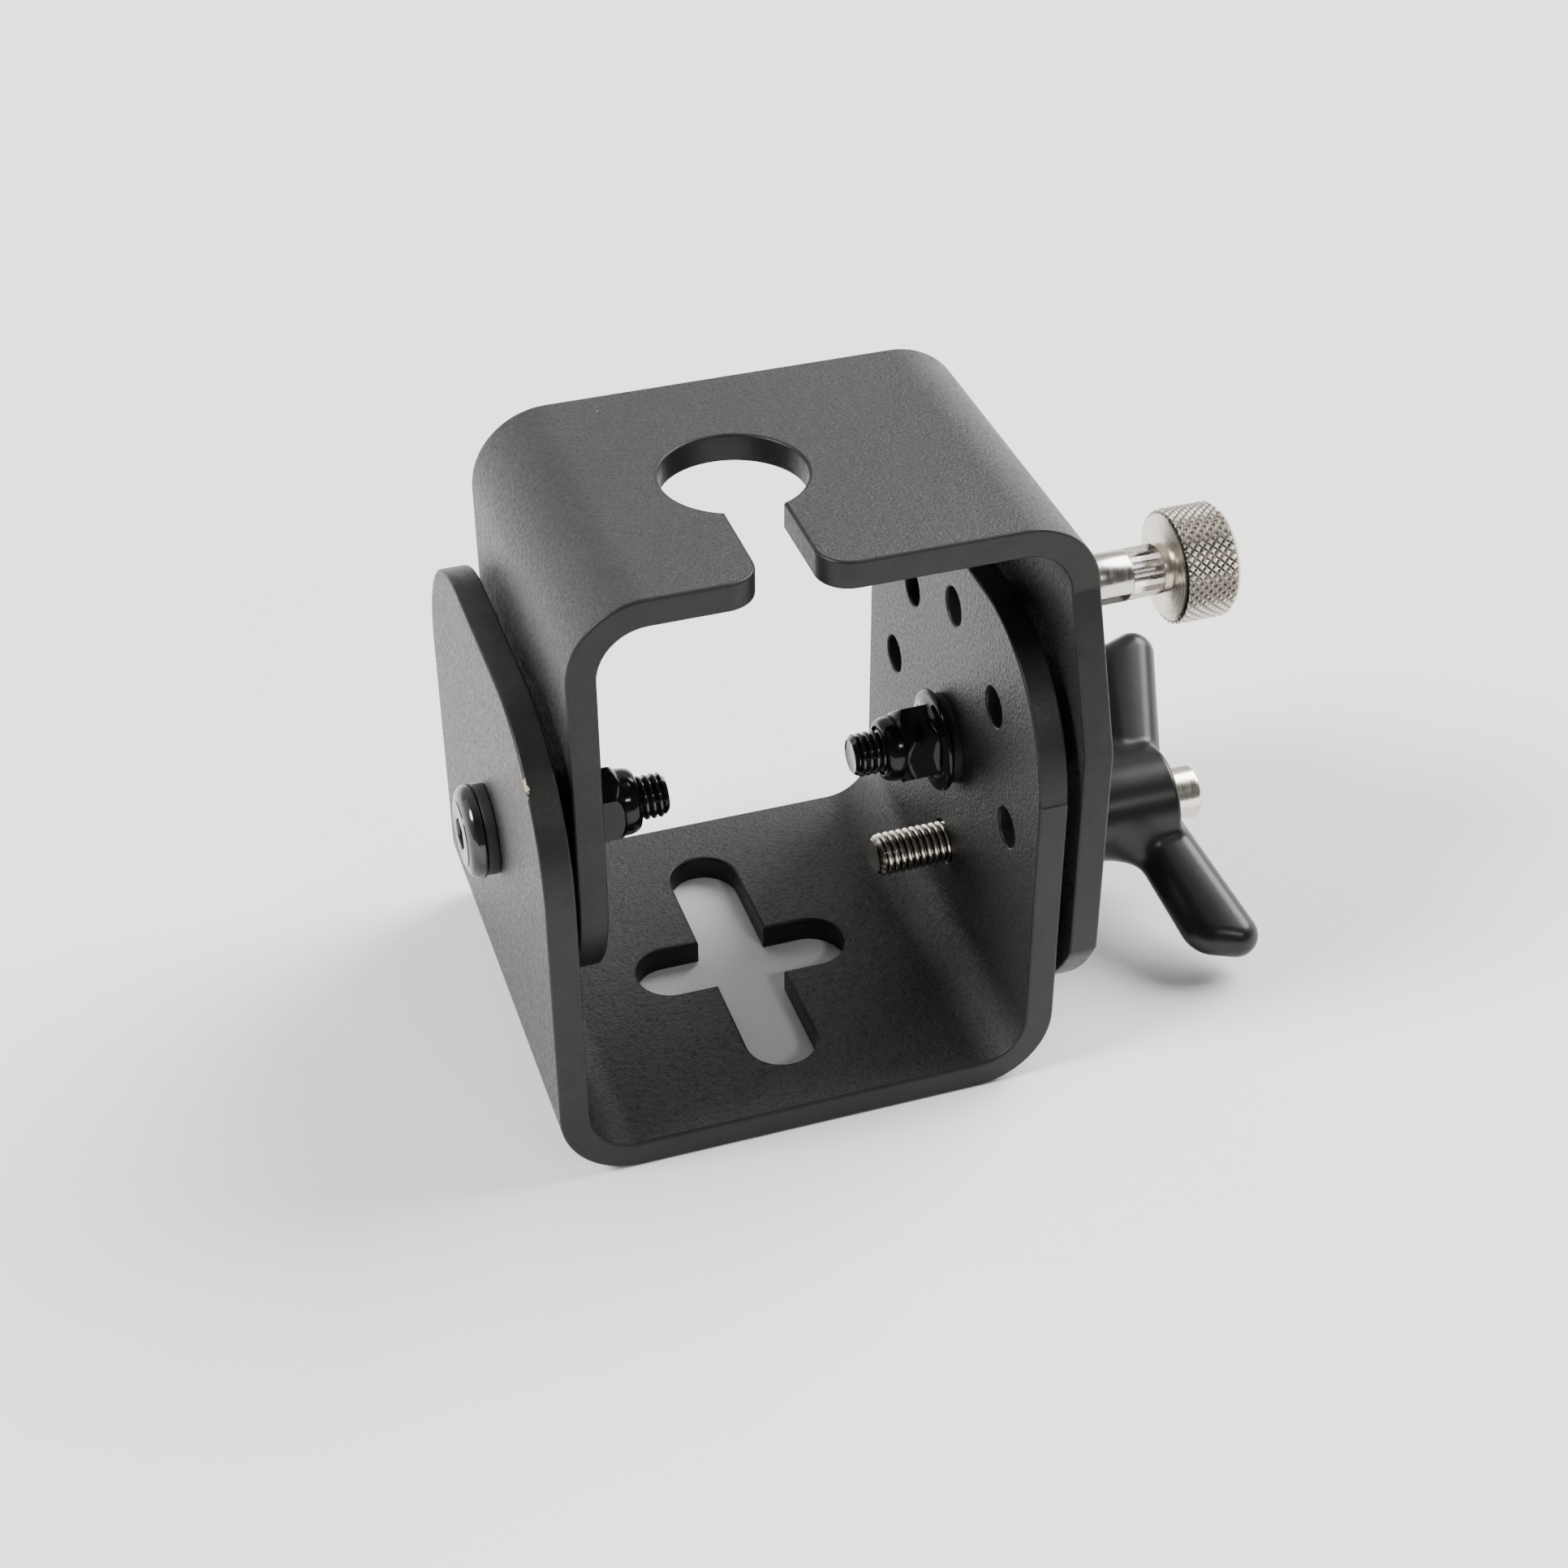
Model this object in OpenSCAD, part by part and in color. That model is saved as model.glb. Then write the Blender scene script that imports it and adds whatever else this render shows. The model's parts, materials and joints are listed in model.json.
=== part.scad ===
// Adjustable tilting bracket: two folded steel U brackets, one inside the other,
// that tilt about a pair of pivot screws, lock by an index plunger in 45 degree
// steps, and clamp with a wing screw.
//
// Frame: millimetres, +Z up, X along the pivot axis, Y through the depth of the
// bracket. The origin is the centre of the base's underside, at the middle of
// the cross slot.

/* [Plate] */
// Thickness of the folded plate, its paint included
plate_t = 3.2; // [2.5:0.1:4]
// Outside width of each U bracket
bracket_w = 56; // [52:0.5:70]
// Outside radius of every bend
bend_r = 8.6; // [6:0.1:10]
// Gap between each ear and the leg beside it
leg_gap = 1.5; // [1:0.1:2.5]

/* [Lower bracket] */
// Depth of the base and of its ears
base_depth = 52; // [50:0.5:64]
// Height of the ears above the floor
ear_h = 53.7; // [52:0.1:56]
// Radius of the ears' top corners
ear_corner_r = 17; // [12:0.5:20]
// Width of both arms of the cross slot
cross_w = 8; // [6:0.5:10]
// Length of the cross slot from front to back
cross_long = 38; // [30:0.5:42]
// Length of the cross slot from side to side
cross_short = 25; // [20:0.5:30]

/* [Pivot, index and clamp] */
// Height of the pivot axis above the floor
pivot_h = 29; // [28.8:0.1:31]
// Radius of the circle of index holes
index_r = 17.6; // [16.5:0.1:19]
// Diameter of an index hole
index_hole_d = 4.4; // [4.2:0.1:4.8]
// Drop from the pivot axis down to the wing screw's axis
clamp_drop = 15; // [13:0.1:17]

/* [Upper bracket] */
// Depth of the top plate and of the narrow leg
top_depth = 40; // [36:0.5:44]
// Height of the top face above the pivot axis
top_rise = 39; // [38.2:0.1:44]
// Diameter of the keyhole's round end
keyhole_d = 15.5; // [12:0.5:18]
// Width of the keyhole's slot
keyhole_slot_w = 6.2; // [5:0.1:8]
// How far the narrow leg reaches below the pivot axis
narrow_leg_drop = 14; // [12:0.5:17]
// Radius of the wide leg's round foot
foot_r = 28.7; // [28:0.1:28.7]
// Height of the wide leg's shoulders above the pivot axis
shoulder_rise = 14; // [10:0.5:18]

/* [Hardware] */
// Thread diameter of the pivot screws and of the wing screw
thread_d = 5; // [5]
// Diameter of a pivot screw's button head
head_d = 10.4; // [9.5:0.1:11.8]
// Travel of the plunger from pulled clear to home in an index hole
engage_travel = 3.45; // [3.2:0.05:3.7]
// Diameter of the plunger's knurled knob
knob_d = 13.1; // [11:0.1:16]
// Distance from the wing screw's axis to the tip of a wing
wing_reach = 21.5; // [18:0.5:22]

/* [Hidden] */
$fn = 96;

// Faces of the plates along X
ear_out = bracket_w / 2;                 // outer face of either ear
ear_in = ear_out - plate_t;              // inner face of either ear
upper_shift = plate_t + leg_gap;         // how far the upper bracket sits to the right
narrow_in = -ear_out + upper_shift + plate_t;  // inner face of the narrow leg
wide_in = ear_out + leg_gap;             // inner face of the wide leg
wide_out = wide_in + plate_t;            // outer face of the wide leg

bend_top = top_rise - bend_r;            // where the top bends begin, above the pivot
keyhole_mouth_r = 3.5;                   // round corners where the slot meets the edge
narrow_corner_r = 17;                    // bottom corners of the narrow leg
index_step = 45;
thread_r = thread_d / 2;
bore_play = 0.05;                        // radial running clearance on a shank
face_play = 0.04;                        // axial play on each side of a moving leg

// Pivot stack, from the head towards the nut
head_h = 2;
head_rim = 0.6;                          // straight edge below the dome
head_dome_w = 2.4;                       // width of the dome's curve
head_washer_t = 1.4;
washer_r = 5.2;
washer_bore_r = thread_r + 0.15;
nut_washer_t = 1.3;
nut_h = 7;
screw_len = 21;
socket_af = 3;                           // across flats of the hex socket
socket_depth = 1.5;
nut_flange_r = 5.9;
nut_flange_t = 1.2;
nut_af = 8;
nut_hex_h = 5;                           // from the flange's face to the collar
nut_collar_r = 3.95;
nut_bore_r = thread_r + 0.01;
ring_r = 3.2;                            // nylon ring inside the collar
ring_t = 1.5;

// Plunger, along X. The drawn position is pulled clear of the ear
sleeve_r = 2.95;
sleeve_end = wide_out + 12.5;
sleeve_groove = wide_out + 1.1;          // thread run-out beside the leg
slot_floor = sleeve_end - 4.1;           // bottom of the sleeve's two slots
slot_w = 2.2;
lug_w = 1.8;
lug_angle = 35;                          // the lugs' tilt from level
end_wall = 1.2;
pin_r = 2;
pin_tip = ear_out + 0.05;
pin_shoulder = pin_tip + 8.4;
stem_r = 1.15;
spring_r = 1.6;                          // mean coil radius
spring_wire_r = 0.2;
spring_turns = 7;
boss_r = 2.85;
boss_t = 1;
knob_face = sleeve_end + 0.1 + boss_t + engage_travel;
knob_len = 6.8;
knob_chamfer = 0.7;

// Wing screw, along X
stud_tip = ear_in - 8.6;
stud_step = wide_out + 3.3;              // where the stud thickens inside the knob
stud_back_r = 3.3;
hub_r = 6.3;
hub_start = wide_out + 0.3;
hub_end = wide_out + 19.6;
stud_back = hub_end + 4.2;
hub_leg_r = 5.95;                        // the hub narrows a little towards the leg
wing_angle = 29.3;                       // the wings' rise from level
wing_t = 5.2;
// The wing's outline goes round three circles: [distance from the axis, distance
// along it from the hub's end, radius]
wing_root = [0, -3.4, 3.5];
wing_heel = [wing_reach - 5.1, 0.8, 4.25];
wing_toe = [wing_reach - 2.8, 2.9, 2.7];

// Outlines in this file are drawn in a plane and stood up: along_x() takes a
// drawing's first axis as Y, its second as Z, and pulls it along X from x0 to x1.
module along_x(x0, x1)
    translate([x0, 0, 0]) rotate([90, 0, 90]) linear_extrude(x1 - x0) children();

// turned() spins a profile of [distance along X, radius] about a line along X.
module turned(profile)
    rotate([0, 90, 0]) rotate_extrude()
        polygon([for (p = profile) [p[1], p[0]]]);

module rod(x0, x1, r)
    translate([x0, 0, 0]) rotate([0, 90, 0]) cylinder(h = x1 - x0, r = r);

module tube(x0, x1, r, bore_r)
    difference() {
        rod(x0, x1, r);
        rod(x0 - 1, x1 + 1, bore_r);
    }

module at_pivot() translate([0, 0, pivot_h]) children();
module at_index() translate([0, 0, pivot_h + index_r]) children();
module at_clamp() translate([0, 0, pivot_h - clamp_drop]) children();

// Rectangle from [x0, y0] to [x1, y1] with its upper corners rounded
module round_top(x0, y0, x1, y1, r) {
    translate([x0, y0]) square([x1 - x0, y1 - y0 - r]);
    translate([x0 + r, y0]) square([x1 - x0 - 2 * r, y1 - y0]);
    for (x = [x0 + r, x1 - r]) translate([x, y1 - r]) circle(r);
}

// Slot with round ends, centred, its length along the first axis
module slot(len, w) {
    square([len - w, w], center = true);
    for (side = [-1, 1]) translate([side * (len - w) / 2, 0]) circle(w / 2);
}

// Section of a folded channel that opens upwards, its floor on the first axis
module channel(w, h) {
    difference() {
        mirror([0, 1]) translate([0, -h]) round_top(-w / 2, 0, w / 2, h, bend_r);
        mirror([0, 1]) translate([0, -h - 1])
            round_top(-w / 2 + plate_t, 0, w / 2 - plate_t, h + 1 - plate_t,
                      bend_r - plate_t);
    }
}

module lower_bracket() color("#202022") difference() {
    intersection() {
        translate([0, base_depth / 2, 0]) rotate([90, 0, 0])
            linear_extrude(base_depth) channel(bracket_w, ear_h);
        along_x(-bracket_w, bracket_w)
            round_top(-base_depth / 2, 0, base_depth / 2, ear_h, ear_corner_r);
    }
    translate([0, 0, -1]) linear_extrude(plate_t + 2) {
        slot(cross_short, cross_w);
        rotate(90) slot(cross_long, cross_w);
    }
    at_pivot() rod(-bracket_w, bracket_w, thread_r + bore_play);
    at_clamp() rod(0, bracket_w, thread_r + bore_play);
    at_pivot() for (k = [-2:2]) rotate([k * index_step, 0, 0])
        translate([0, 0, index_r]) rod(0, bracket_w, index_hole_d / 2);
}

// Outline of the wide leg about the pivot: straight sides between the shoulders
// and a round foot, narrowing above the shoulders to the top plate's depth.
module wide_leg_outline() {
    half = base_depth / 2;
    polygon([
        [-half, 0], [half, 0], [half, shoulder_rise], [top_depth / 2, bend_top],
        [-top_depth / 2, bend_top], [-half, shoulder_rise]
    ]);
    intersection() {
        circle(foot_r);
        translate([-half, -foot_r]) square([base_depth, foot_r + 0.01]);
    }
}

// Slot through half a turn about the pivot, for the wing screw
module arc_slot(r, w) {
    difference() {
        intersection() {
            circle(r + w / 2);
            translate([-2 * r, -2 * r]) square([4 * r, 2 * r]);
        }
        circle(r - w / 2);
    }
    for (side = [-1, 1]) translate([side * r, 0]) circle(w / 2);
}

// Round hole with a slot that runs out through the front edge
module keyhole() {
    front = top_depth / 2;
    circle(keyhole_d / 2);
    translate([-keyhole_slot_w / 2, -front - 1]) square([keyhole_slot_w, front + 1]);
    difference() {
        translate([-keyhole_slot_w / 2 - keyhole_mouth_r, -front - 1])
            square([keyhole_slot_w + 2 * keyhole_mouth_r, keyhole_mouth_r + 1]);
        for (side = [-1, 1])
            translate([side * (keyhole_slot_w / 2 + keyhole_mouth_r),
                       -front + keyhole_mouth_r])
                circle(keyhole_mouth_r);
    }
}

module upper_bracket() color("#202022") at_pivot() difference() {
    union() {
        // top plate, both bends and the narrow leg, as one channel turned over
        intersection() {
            translate([upper_shift, top_depth / 2, top_rise])
                rotate([90, 0, 0]) mirror([0, 1, 0])
                    linear_extrude(top_depth) channel(bracket_w, top_rise + narrow_leg_drop);
            union() {
                along_x(-bracket_w, 0) mirror([0, 1])
                    round_top(-top_depth / 2, -top_rise, top_depth / 2,
                              narrow_leg_drop, narrow_corner_r);
                translate([0, -top_depth, bend_top])
                    cube([bracket_w, 2 * top_depth, bend_r]);
            }
        }
        along_x(wide_in, wide_out) wide_leg_outline();
    }
    linear_extrude(top_rise + 1) keyhole();
    rod(-bracket_w, bracket_w, thread_r + bore_play);
    translate([0, 0, index_r]) rod(0, bracket_w, sleeve_r + 0.01);
    along_x(wide_in - 1, wide_out + 1) arc_slot(clamp_drop, thread_d + 0.4);
}

// Button-head screw with a hex socket, head towards -X, its bearing face at x = 0
module pivot_screw() color("#101012") difference() {
    union() {
        turned([
            [0, 0], [0, head_d / 2], [-head_rim, head_d / 2],
            for (a = [0:10:60])
                [-head_rim - (head_h - head_rim) * sin(a) / sin(60),
                 head_d / 2 - head_dome_w * (1 - cos(a)) / (1 - cos(60))],
            [-head_h, 0]
        ]);
        rod(0, screw_len - 0.5, thread_r);
        turned([
            [screw_len - 0.5, 0], [screw_len - 0.5, thread_r],
            [screw_len, thread_r - 0.5], [screw_len, 0]
        ]);
    }
    translate([-head_h - 1, 0, 0]) rotate([0, 90, 0])
        cylinder(h = socket_depth + 1, r = socket_af / 2 / cos(30), $fn = 6);
}

// Flange nut with a crimped collar, flange towards -X with its face at x = 0
module lock_nut() color("#101012") difference() {
    union() {
        turned([
            [0, 0], [0, nut_flange_r], [nut_flange_t * 0.6, nut_flange_r],
            [nut_flange_t, nut_flange_r - 0.5], [nut_flange_t + 0.5, 0]
        ]);
        intersection() {
            rotate([0, 90, 0]) cylinder(h = nut_hex_h, r = nut_af / 2 / cos(30), $fn = 6);
            turned([
                [0, 0], [0, nut_af], [nut_hex_h - 0.5 * nut_af / 2, nut_af],
                [nut_hex_h, nut_af / 2], [nut_hex_h, 0]
            ]);
        }
        turned([
            [nut_hex_h - 1, 0], [nut_hex_h - 1, nut_collar_r],
            for (a = [0:15:90])
                [nut_h - 1.2 + 1.2 * sin(a), nut_collar_r - 1 + cos(a)],
            [nut_h, 0]
        ]);
    }
    rod(-1, nut_h + 1, nut_bore_r);
    rod(nut_h - 0.5 - ring_t, nut_h - 0.5, ring_r);
    rod(nut_h - 0.6, nut_h + 1, nut_bore_r + 0.35);
}

module nut_ring() color("#2a2f36")
    tube(nut_h - 0.5 - ring_t, nut_h - 0.5, ring_r, nut_bore_r);

module washer(t) tube(0, t, washer_r, washer_bore_r);

// The left stack: the screw points towards +X through the left ear and the narrow leg
left_seat = -ear_out - head_washer_t;
left_nut_at = narrow_in + face_play + nut_washer_t;
module left_pivot_screw() at_pivot() translate([left_seat, 0, 0]) pivot_screw();
module left_head_washer() color("#161616")
    at_pivot() translate([left_seat, 0, 0]) washer(head_washer_t);
module left_spacer_washer() color("#161616") at_pivot()
    translate([-ear_in, 0, 0]) washer(leg_gap - face_play);
module left_nut_washer() color("#161616") at_pivot()
    translate([narrow_in + face_play, 0, 0]) washer(nut_washer_t);
module left_lock_nut() at_pivot() translate([left_nut_at, 0, 0]) lock_nut();
module left_nut_ring() at_pivot() translate([left_nut_at, 0, 0]) nut_ring();

// The right stack: the screw points towards -X through the wide leg and the right ear
right_seat = wide_out + face_play + head_washer_t;
right_nut_at = ear_in - nut_washer_t;
module facing_left(x) at_pivot() translate([x, 0, 0]) mirror([1, 0, 0]) children();
module right_pivot_screw() facing_left(right_seat) pivot_screw();
module right_head_washer() color("#161616") facing_left(right_seat) washer(head_washer_t);
module right_spacer_washer() color("#161616")
    facing_left(ear_out + leg_gap - face_play) washer(leg_gap - face_play);
module right_nut_washer() color("#161616") facing_left(ear_in) washer(nut_washer_t);
module right_lock_nut() facing_left(right_nut_at) lock_nut();
module right_nut_ring() facing_left(right_nut_at) nut_ring();

// The two slots of the sleeve, or the two lugs that slide in them
module lug_pair(x0, x1, w, r_in, r_out)
    rotate([lug_angle, 0, 0]) for (side = [-1, 1])
        intersection() {
            tube(x0, x1, r_out, r_in);
            translate([x0 - 1, side > 0 ? 0 : -2 * r_out, -w / 2])
                cube([x1 - x0 + 2, 2 * r_out, w]);
        }

module plunger_sleeve() color("#b9b6ae") at_index() difference() {
    rod(wide_in, sleeve_end, sleeve_r);
    rod(wide_in - 1, sleeve_end - end_wall, pin_r + 0.04);
    rod(wide_in, sleeve_end + 1, stem_r + 0.05);
    tube(sleeve_groove, sleeve_groove + 0.5, sleeve_r + 1, sleeve_r - 0.3);
    lug_pair(slot_floor, sleeve_end + 1, slot_w, pin_r, sleeve_r + 1);
}

module plunger_pin() color("#a9a59c") at_index() {
    turned([
        [pin_tip, 0], [pin_tip, pin_r - 0.3], [pin_tip + 0.3, pin_r],
        [pin_shoulder, pin_r], [pin_shoulder, stem_r],
        [knob_face + knob_len - 2, stem_r], [knob_face + knob_len - 2, 0]
    ]);
}

// Compression spring around the pin's stem, swept along a helix
module plunger_spring() {
    sides = 8;
    rings_per_turn = 12;
    x0 = pin_shoulder + spring_wire_r + 0.05;
    x1 = sleeve_end - end_wall - spring_wire_r - 0.05;
    n = spring_turns * rings_per_turn;
    function on_helix(i, j) =
        let (a = 360 * i / rings_per_turn, b = 360 * j / sides,
             r = spring_r + spring_wire_r * cos(b))
        [x0 + (x1 - x0) * i / n + spring_wire_r * sin(b), r * cos(a), r * sin(a)];
    color("#8f8f8f") at_index() polyhedron(
        points = [for (i = [0:n]) for (j = [0:sides - 1]) on_helix(i, j)],
        faces = [
            [for (j = [0:sides - 1]) j],
            [for (j = [sides - 1:-1:0]) n * sides + j],
            for (i = [0:n - 1]) for (j = [0:sides - 1])
                let (k = (j + 1) % sides)
                [i * sides + j, (i + 1) * sides + j, (i + 1) * sides + k, i * sides + k]
        ]
    );
}

module plunger_knob() color("#b4b0a8") at_index() difference() {
    union() {
        turned([
            [knob_face - boss_t, 0], [knob_face - boss_t, boss_r], [knob_face, boss_r],
            [knob_face, knob_d / 2 - 0.2], [knob_face + 0.2, knob_d / 2],
            [knob_face + knob_len - knob_chamfer, knob_d / 2],
            [knob_face + knob_len, knob_d / 2 - knob_chamfer], [knob_face + knob_len, 0]
        ]);
        lug_pair(slot_floor + 0.1 + engage_travel, knob_face - boss_t / 2,
                 lug_w, pin_r + 0.1, sleeve_r - 0.05);
    }
    rod(knob_face - 1, knob_face + knob_len - 2, stem_r + 0.01);
}

module clamp_stud() color("#a8a49b") at_clamp() turned([
    [stud_tip, 0], [stud_tip, thread_r - 0.5], [stud_tip + 0.5, thread_r],
    [stud_step, thread_r], [stud_step, stud_back_r],
    [stud_back - 0.5, stud_back_r], [stud_back, stud_back_r - 0.5], [stud_back, 0]
]);

// Where the outer tangent from circle a to circle b, each [x, y, r], touches
// circle c, one of the two; the tangent runs on the right of the way from a to b.
function touch(a, b, c) =
    let (run = [b[0] - a[0], b[1] - a[1]],
         along = run / norm(run),
         slope = (a[2] - b[2]) / norm(run))
    [c[0], c[1]] + c[2] * (along * slope + [along[1], -along[0]] * sqrt(1 - slope * slope));

// Convex outline round the circles, which are listed counter-clockwise
module round_about(circles) {
    polygon([
        for (i = [0:len(circles) - 1])
            let (a = circles[i], b = circles[(i + 1) % len(circles)])
            for (c = [a, b]) touch(a, b, c)
    ]);
    for (c = circles) translate([c[0], c[1]]) circle(c[2]);
}

module wing_knob() color("#19191b") at_clamp() difference() {
    union() {
        turned([[hub_start, 0], [hub_start, hub_leg_r], [hub_end, hub_r], [hub_end, 0]]);
        for (turn = [0, 180]) rotate([wing_angle + turn, 0, 0])
            translate([0, 0, -wing_t / 2]) linear_extrude(wing_t)
                mirror([1, -1]) translate([0, hub_end])
                    round_about([wing_root, wing_heel, wing_toe]);
    }
    rod(hub_start - 1, hub_end + 10, thread_r + 0.01);
    rod(stud_step, hub_end + 10, stud_back_r + 0.01);
}

lower_bracket();
upper_bracket();
left_pivot_screw();
right_pivot_screw();
left_head_washer();
right_head_washer();
left_spacer_washer();
right_spacer_washer();
left_nut_washer();
right_nut_washer();
left_lock_nut();
right_lock_nut();
left_nut_ring();
right_nut_ring();
plunger_sleeve();
plunger_pin();
plunger_spring();
plunger_knob();
clamp_stud();
wing_knob();
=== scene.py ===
"""Looks for the tilting bracket: two folded plates, their pivot hardware, the
index plunger and the wing screw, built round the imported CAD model."""

import json
import math

import bmesh
import bpy
import numpy as np
from mathutils import Matrix, Vector
from mathutils.geometry import tessellate_polygon

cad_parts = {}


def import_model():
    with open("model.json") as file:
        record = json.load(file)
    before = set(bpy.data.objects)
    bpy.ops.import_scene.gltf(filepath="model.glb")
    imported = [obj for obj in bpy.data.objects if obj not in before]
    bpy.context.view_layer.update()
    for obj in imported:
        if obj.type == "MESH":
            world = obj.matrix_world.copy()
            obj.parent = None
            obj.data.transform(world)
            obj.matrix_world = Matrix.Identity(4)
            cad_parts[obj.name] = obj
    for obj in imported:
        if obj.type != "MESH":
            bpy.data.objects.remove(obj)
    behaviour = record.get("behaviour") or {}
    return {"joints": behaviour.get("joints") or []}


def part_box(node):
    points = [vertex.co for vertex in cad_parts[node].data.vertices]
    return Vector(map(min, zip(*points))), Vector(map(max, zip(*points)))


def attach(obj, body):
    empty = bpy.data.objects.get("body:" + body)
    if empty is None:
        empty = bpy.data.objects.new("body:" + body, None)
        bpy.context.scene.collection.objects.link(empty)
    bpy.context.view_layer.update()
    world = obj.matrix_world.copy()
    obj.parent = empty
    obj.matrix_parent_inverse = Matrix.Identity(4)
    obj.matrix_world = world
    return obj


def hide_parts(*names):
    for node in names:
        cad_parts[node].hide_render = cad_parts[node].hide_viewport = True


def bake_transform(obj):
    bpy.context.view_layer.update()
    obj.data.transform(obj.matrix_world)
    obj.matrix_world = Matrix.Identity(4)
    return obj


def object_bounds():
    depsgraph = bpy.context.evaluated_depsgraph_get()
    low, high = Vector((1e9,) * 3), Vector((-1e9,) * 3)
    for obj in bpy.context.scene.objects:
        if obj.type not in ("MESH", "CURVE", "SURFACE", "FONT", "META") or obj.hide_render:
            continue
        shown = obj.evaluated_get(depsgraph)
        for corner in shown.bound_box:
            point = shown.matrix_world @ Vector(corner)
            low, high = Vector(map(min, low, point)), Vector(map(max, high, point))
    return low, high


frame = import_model()
cad_lo, cad_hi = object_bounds()

# ---------------------------------------------------------------- measures
# All sizes below are in millimetres and are turned to metres by mesh_piece().
MM = 0.001
ROOM = 0.02                       # how far a piece stays inside its CAD node
FACE_PLAY = 0.04                  # the CAD's gap between a moving leg and a washer


def span(node):
    """A CAD node's lowest and highest corner, in millimetres."""
    lo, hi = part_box(node)
    return Vector(lo) / MM, Vector(hi) / MM


def length(node):
    """A CAD node's length along X, in millimetres."""
    lo, hi = span(node)
    return hi.x - lo.x


joints = {j["name"]: j for j in frame["joints"]}
base_lo, base_hi = span("lower_bracket")
upper_lo, upper_hi = span("upper_bracket")
knob_lo, knob_hi = span("plunger_knob")
sleeve_lo, sleeve_hi = span("plunger_sleeve")
pin_lo, pin_hi = span("plunger_pin")
spring_lo, spring_hi = span("plunger_spring")
stud_lo, stud_hi = span("clamp_stud")
wing_lo, wing_hi = span("wing_knob")

PIVOT_Z = joints["tilt"]["pos_m"][2] / MM
CLAMP_Z = joints["wing_turn"]["pos_m"][2] / MM
INDEX_Z = (knob_lo.z + knob_hi.z) / 2
INDEX_R = INDEX_Z - PIVOT_Z       # from the pivot line to the plunger's line
CLAMP_R = PIVOT_Z - CLAMP_Z       # from the pivot line to the wing screw's line
PIVOT_LINE = (0.0, PIVOT_Z)       # y and z of the three lines along X
INDEX_LINE = (0, INDEX_Z)
CLAMP_LINE = (0, CLAMP_Z)

PLATE_T = span("left_nut_washer")[0].x - FACE_PLAY - upper_lo.x
BEND_R = 8.6                      # outer radius of the four bends
BEND_LEN = BEND_R * math.pi / 2   # a bend's length, measured on its outer face
EAR_OUT = base_hi.x
HALF_DEPTH = base_hi.y
TOP_HALF_DEPTH = 20.0
CORNER_R = 17.0
EDGE_R = 0.32                     # rounding of the plates' cut edges
LEDGE = 0.14                      # small step in the right ear's front edge,
LEDGE_AT = 0.8                    # and how far above the corner's start it is
CROSS_HALF_W = 4.0
CROSS_HALF_LONG = 19.0
CROSS_HALF_SHORT = 12.5
KEYHOLE_R = 7.75
KEYHOLE_SLOT = 3.1                # half the slot's width
KEYHOLE_MOUTH_R = 3.5
NARROW_END_Z = PIVOT_Z - 14.0     # lower end of the narrow left leg
SHOULDER_Z = PIVOT_Z + 14.0       # where the right leg has its full width
FOOT_R = PIVOT_Z - upper_lo.z     # round foot of the right leg
SCREW_HOLE_R = 2.55
INDEX_HOLE_R = 2.2
ARC_HALF_W = 2.7                  # half the width of the clamp's arc slot
THREAD_R = 2.5                    # M5, for the pivot screws and the stud
THREAD_PITCH = 0.8
THREAD_DEPTH = 0.46
THREAD_SHAPE = 2.4                # above 1 the crests are wider than the roots


# ---------------------------------------------------------------- mesh tools
def mesh_piece(name, verts, faces, body, replaced, slot, materials, tags=None):
    """Makes an object from points in millimetres and hands it to the frame.

    body may be None for a piece that rides on no body, replaced may be None
    for one that replaces no CAD node, and tags are the faces' material numbers."""
    mesh = bpy.data.meshes.new(name)
    mesh.from_pydata([Vector(v) * MM for v in verts], [], faces)
    for material in materials:
        mesh.materials.append(material)
    if tags is not None:
        mesh.polygons.foreach_set("material_index", tags)
    joined = bmesh.new()
    joined.from_mesh(mesh)
    bmesh.ops.remove_doubles(joined, verts=joined.verts, dist=1e-4 * MM)
    bmesh.ops.dissolve_degenerate(joined, dist=1e-4 * MM, edges=joined.edges)
    bmesh.ops.recalc_face_normals(joined, faces=joined.faces)
    joined.to_mesh(mesh)
    joined.free()
    piece = bpy.data.objects.new(name, mesh)
    bpy.context.scene.collection.objects.link(piece)
    if body:
        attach(piece, body)
    if replaced:
        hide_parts(replaced)
    return piece


def shade(piece, angle=35.0, weighted=False):
    """Smooth shading, split at edges sharper than the angle in degrees."""
    mesh = piece.data
    mesh.polygons.foreach_set("use_smooth", [True] * len(mesh.polygons))
    mesh.set_sharp_from_angle(angle=math.radians(angle))
    if weighted:
        modifier = piece.modifiers.new("flat_faces", "WEIGHTED_NORMAL")
        modifier.keep_sharp = True
    return piece


def arc(cx, cy, r, start, end, step=4.0):
    """Points on an arc from one angle to another, both in degrees."""
    n = max(2, int(abs(end - start) / step) + 1)
    return [
        (cx + r * math.cos(math.radians(a)), cy + r * math.sin(math.radians(a)))
        for a in np.linspace(start, end, n)
    ]


def round_hole(cx, cy, r):
    """A hole's outline, run clockwise so that the plate is on its left."""
    return arc(cx, cy, r, 360.0, 7.5, 7.5)


def inset(loop, distance):
    """The loop moved to its left by a distance, corners mitred."""
    points = np.array(loop)
    ahead = np.roll(points, -1, axis=0) - points
    ahead /= np.linalg.norm(ahead, axis=1)[:, None]
    left = np.stack([-ahead[:, 1], ahead[:, 0]], axis=1)
    both = left + np.roll(left, 1, axis=0)
    both /= (1 + (left * np.roll(left, 1, axis=0)).sum(axis=1))[:, None]
    return points + both * distance


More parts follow.
